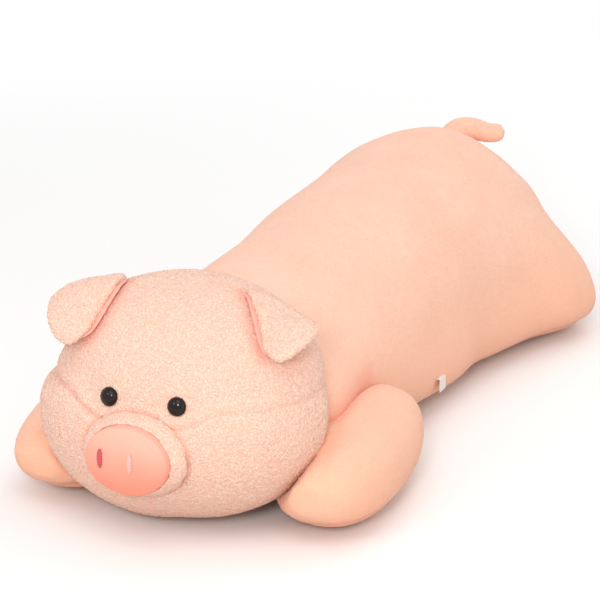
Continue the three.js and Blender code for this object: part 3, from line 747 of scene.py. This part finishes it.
snout = settledCopy("snout_disc", "snout_pad", faceFacts["snout"])
finishPiece(snout, snoutSatin)
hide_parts("snout_disc")
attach(snout, "head")

# the left nostril gets the rose thread painted pale as a highlight
for sideName, material in (("left", litThread), ("right", roseThread)):
    stitch = settledCopy(f"nostril_{sideName}", f"nostril_{sideName}_thread", faceFacts["nostril"])
    finishPiece(stitch, material)
    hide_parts(f"nostril_{sideName}")
    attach(stitch, "head")
print("snout made")

# Eyes
for sideName in ("left", "right"):
    eye = copyOf(f"eye_{sideName}", f"eye_{sideName}_dome")
    finishPiece(eye, eyeBlack)
    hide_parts(f"eye_{sideName}")
    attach(eye, "head")
print("eyes made")

# Ears: a flap between its sewn root and its two free corners, plush above and satin below
earFacts = {
    "left": {
        "rootInner": (0.0497, -0.2671, 0.1863), "rootOuter": (0.0893, -0.2605, 0.1635),
        "tipFront": (0.103, -0.3305, 0.1445), "tipOuter": (0.1265, -0.294, 0.1695),
        "front": (-0.002, -0.0015, 0.001), "rise": 0.001, "dimple": 0.004,
    },
    "right": {
        "rootInner": (-0.0497, -0.2728, 0.1863), "rootOuter": (-0.0904, -0.2746, 0.1654),
        "tipFront": (-0.0625, -0.345, 0.1345), "tipOuter": (-0.0955, -0.3162, 0.1692),
        "front": (0.0098, -0.0082, 0.0115), "rise": 0.006, "dimple": 0.0,
    },
    "bow": 0.009, "squeeze": 0.2, "corner": 0.1, "shorter": 0.06, "clear": 0.0032, "grid": (28, 24),
    "plush": {"thick": 0.0085, "above": True, "peek": 0.0, "voxel": 0.0012, "relax": 8, "curlHeight": 0.0019},
    "satin": {"thick": 0.0018, "above": False, "peek": 0.0036, "voxel": 0.0008, "relax": 4},
    # painted shade on the head round each ear: its strength and its reach
    "pinkTint": 0.75, "earShadeReach": 0.0065,
}


def earPoints(piece, ear, facts, peek):
    # moves a flat grid onto the flap: across runs from the front edge to the back, down from root to tip
    flat = points(piece)
    across, down = (flat[:, 0] + 1) / 2, (flat[:, 1] + 1) / 2
    corners = ("rootInner", "rootOuter", "tipFront", "tipOuter")
    inner, outer, front, back = [np.array(ear[key]) for key in corners]
    corner = np.maximum(0, down - 0.5) * 2
    within = 0.5 + (across - 0.5) * (1 - facts["squeeze"] * corner ** 3)
    within -= peek / np.linalg.norm(back - front) * (1 - across) * np.sin(np.pi * down) ** 0.7
    reach = down * (1 - facts["corner"] * (2 * np.abs(across - 0.5)) ** 3)
    reach *= 1 - (facts["shorter"] if peek else 0.0)
    within, reach = within[:, None], reach[:, None]
    root = inner + (outer - inner) * within
    edge = front + (back - front) * within
    places = root + (edge - root) * reach
    away = np.cross(edge - root, outer - inner)
    away /= np.linalg.norm(away, axis=1, keepdims=True)
    away *= np.sign(away[:, 2:])
    arch = np.sin(np.pi * np.clip(within, 0, 1))
    places += away * facts["bow"] * arch * np.sin(np.pi * reach / 2)
    swell = np.sin(np.pi * np.clip(reach, 0, 1)) ** 0.6
    places += np.array(ear["front"]) * swell * np.clip(1 - within, 0, 1.2) ** 1.5
    places[:, 2:] += ear["rise"] * arch ** 0.7 * np.sin(np.pi * np.clip(reach, 0, 0.9)) ** 0.8
    dimple = np.exp(-(((within - 0.5) / 0.16) ** 2) - ((reach - 0.42) / 0.16) ** 2)
    places -= away * ear["dimple"] * dimple
    # it lies on the head and never in it
    for i, place in enumerate(places):
        spot = np.array(head.closest_point_on_mesh(Vector(place))[1])
        outward = (spot - np.array(headFacts["centre"])) / np.array(headFacts["half"]) ** 2
        outward /= np.linalg.norm(outward)
        gap = (place - spot) @ outward
        wanted = facts["clear"] * min(1.0, down[i] * 6)
        if down[i] < 0.01 or gap < wanted:
            place += outward * (wanted - gap)
    setPoints(piece, places)


def earCloth(sideName, cloth, facts):
    layer = facts[cloth]
    columns, rows = facts["grid"]
    bpy.ops.object.select_all(action="DESELECT")
    bpy.ops.mesh.primitive_grid_add(x_subdivisions=columns, y_subdivisions=rows, size=2)
    piece = bpy.context.object
    piece.name = f"ear_{sideName}_{cloth}"
    flat = points(piece)
    across, down = (flat[:, 0] + 1) / 2, (flat[:, 1] + 1) / 2
    middle = np.sqrt(np.maximum(0, np.sin(np.pi * across) * np.sin(np.pi * (0.1 + 0.9 * down))))
    group = piece.vertex_groups.new(name="puff")
    for i, share in enumerate(middle):
        group.add([i], 0.45 + 0.55 * float(share) if layer["above"] else 1.0, "REPLACE")
    earPoints(piece, facts[sideName], facts, layer["peek"])
    if normals(piece)[:, 2].mean() < 0:
        onlySelect(piece)
        bpy.ops.object.mode_set(mode="EDIT")
        bpy.ops.mesh.select_all(action="SELECT")
        bpy.ops.mesh.flip_normals()
        bpy.ops.object.mode_set(mode="OBJECT")
    direction = 1 if layer["above"] else -1
    applyModifier(piece, "SOLIDIFY", thickness=layer["thick"], offset=direction, vertex_group="puff")
    piece.vertex_groups.clear()
    voxels(piece, layer["voxel"])
    relax(piece, layer["relax"])
    return piece


linings = []
for sideName in ("left", "right"):
    outer = earCloth(sideName, "plush", earFacts)
    curled(outer, headFacts["curl"], earFacts["plush"]["curlHeight"], 7.0)
    finishPiece(outer, headPlush)
    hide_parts(f"ear_{sideName}_outer")
    lining = earCloth(sideName, "satin", earFacts)
    linings.append(lining)
    finishPiece(lining, liningSatin)
    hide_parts(f"ear_{sideName}_lining")
    for cloth in (outer, lining):
        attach(cloth, f"ear_{sideName}")


def paintShadeUnderEars(piece, cloths, reach, strength):
    # painted shade: the head is pinker where an ear lies over it, standing in for the ear's shadow and the pink
    # light bounced under it
    tree = KDTree(sum(len(cloth.data.vertices) for cloth in cloths))
    for cloth in cloths:
        for place in points(cloth):
            tree.insert(place, 0)
    tree.balance()
    fold = piece.data.attributes["fold"].data
    paintedShade = np.empty(len(fold))
    fold.foreach_get("value", paintedShade)
    for i, place in enumerate(points(piece)):
        if place[2] > headFacts["seam"]:
            paintedShade[i] = max(paintedShade[i], strength * math.exp(-((tree.find(place)[2] / reach) ** 2)))
    fold.foreach_set("value", paintedShade)


paintShadeUnderEars(head, linings, earFacts["earShadeReach"], earFacts["pinkTint"])
print("ears made")

# Tail
tailFacts = {
    "root": (0.0, 0.332, 0.172), "spread": 0.45, "reach": 0.017, "sink": 0.006, "lean": 0.006,
    "grow": 0.0003, "voxel": 0.0018, "relax": 8,
}
tail = copyOf("tail", "tail_cover", tailFacts["grow"])
places, root = points(tail), np.array(tailFacts["root"])
broad = around(places, root, tailFacts["reach"])[:, None]
places = places + (places - root) * broad * tailFacts["spread"]
places[:, 2:] -= tailFacts["sink"] * broad
places[:, :1] -= tailFacts["lean"] * broad
setPoints(tail, places)
voxels(tail, tailFacts["voxel"])
relax(tail, tailFacts["relax"])
finishPiece(tail, bodyPlush)
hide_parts("tail")
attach(tail, "tail")

# Care label, turned up against the side of the filled torso
labelFacts = {"move": (0.0262, -0.0674, 0.0215)}
label = copyOf("care_label", "label_ribbon")
setPoints(label, points(label) + np.array(labelFacts["move"]))
finishPiece(label, tapeWhite, smooth=False)
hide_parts("care_label")
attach(label, "torso")

# CAD pieces that stay
kept = {"eye_washer_left": washerWhite, "eye_washer_right": washerWhite}
for nodeName, material in kept.items():
    for materialSlot in cadNodes[nodeName].material_slots:
        materialSlot.material = material
print("tail and small pieces made")


# Floor and light
def raysThatSee(tree):
    # 1 for the camera's own rays and for those seen in gloss or through glass
    path, found = tree.nodes.new("ShaderNodeLightPath"), None
    for kind in ("Is Camera Ray", "Is Glossy Ray", "Is Transmission Ray"):
        if not found:
            found = path.outputs[kind]
            continue
        either = tree.nodes.new("ShaderNodeMath")
        either.operation = "MAXIMUM"
        tree.links.new(found, either.inputs[0])
        tree.links.new(path.outputs[kind], either.inputs[1])
        found = either.outputs[0]
    return found


floorFacts = {
    "colour": seen(250, 250, 250), "bounced": (0.78, 0.72, 0.7),
    "fade": (0.6, 1.5), "size": 14, "below": 0.0004,
}


def plainGround(name, facts):
    # the floor fades out a little way from the toy, into the white round it
    colour = facts["colour"]
    finish = Finish(name, 0.9, specular=0.0)
    dust = finish.grain(0.4)
    rays = Field(finish, raysThatSee(finish.tree))
    cloth = finish.mix(dust * 0.1, colour, tuple(c * 0.98 for c in colour))
    finish.set("Base Color", finish.mix(rays, facts["bounced"], cloth))
    away = finish.node("ShaderNodeVectorMath", {"operation": "LENGTH"}, {0: finish.place()}).field("Value")
    clear = finish.node("ShaderNodeBsdfTransparent").field("BSDF")
    faded = finish.node("ShaderNodeMixShader", {}, {"Fac": finish.between(*facts["fade"], away), 2: clear})
    finish.tree.links.new(finish.shader.outputs["BSDF"], faded.node.inputs[1])
    finish.tree.links.new(faded.node.outputs["Shader"], finish.tree.nodes["Material Output"].inputs["Surface"])
    return finish.material


def studioAir(shade, strength):
    # plain light from all round, seen as white
    world = bpy.data.worlds.new("studio")
    world.use_nodes = True
    tree = world.node_tree
    light = tree.nodes["Background"]
    light.inputs["Color"].default_value = (*shade, 1)
    light.inputs["Strength"].default_value = strength
    white = tree.nodes.new("ShaderNodeBackground")
    white.inputs["Color"].default_value = (1, 1, 1, 1)
    mixer = tree.nodes.new("ShaderNodeMixShader")
    tree.links.new(raysThatSee(tree), mixer.inputs["Fac"])
    tree.links.new(light.outputs["Background"], mixer.inputs[1])
    tree.links.new(white.outputs["Background"], mixer.inputs[2])
    tree.links.new(mixer.outputs["Shader"], tree.nodes["World Output"].inputs["Surface"])
    bpy.context.scene.world = world


bpy.ops.object.select_all(action="DESELECT")
bpy.ops.mesh.primitive_plane_add(size=floorFacts["size"], location=(0, 0, -floorFacts["below"]))
floor = bpy.context.object
floor.name = "floor"
floor.data.materials.append(plainGround("pale floor", floorFacts))

studioAir((1.0, 0.99, 0.985), 0.72)

softboxes = {
    "key": ((0.5, -1.5, 2.1), 1.5, 12, (1.0, 0.985, 0.965)),
    "fill": ((-0.7, -2.0, 1.2), 0.5, 4, (1.0, 0.96, 0.96)),
    "side": ((1.8, -0.7, 0.8), 1.4, 3.5, (1.0, 0.98, 0.95)),
    "rim": ((0.2, 1.8, 1.6), 1.4, 10, (1, 1, 1)),
    "sparkle": ((0.6, -1.9, 0.9), 0.3, 12, (1, 1, 1)),
}


def softbox(name, place, size, power, colour):
    bpy.ops.object.light_add(type="AREA", location=place)
    lamp = bpy.context.object
    lamp.name = name
    lamp.data.size = size
    lamp.data.energy = power
    lamp.data.color = colour
    aimed = Vector(place) - Vector((0, 0, 0.08))
    lamp.rotation_euler = aimed.to_track_quat("Z", "Y").to_euler()


for lampName, lampFacts in softboxes.items():
    softbox(lampName, *lampFacts)
bpy.context.scene.view_settings.view_transform = "Standard"

print("scene ready")
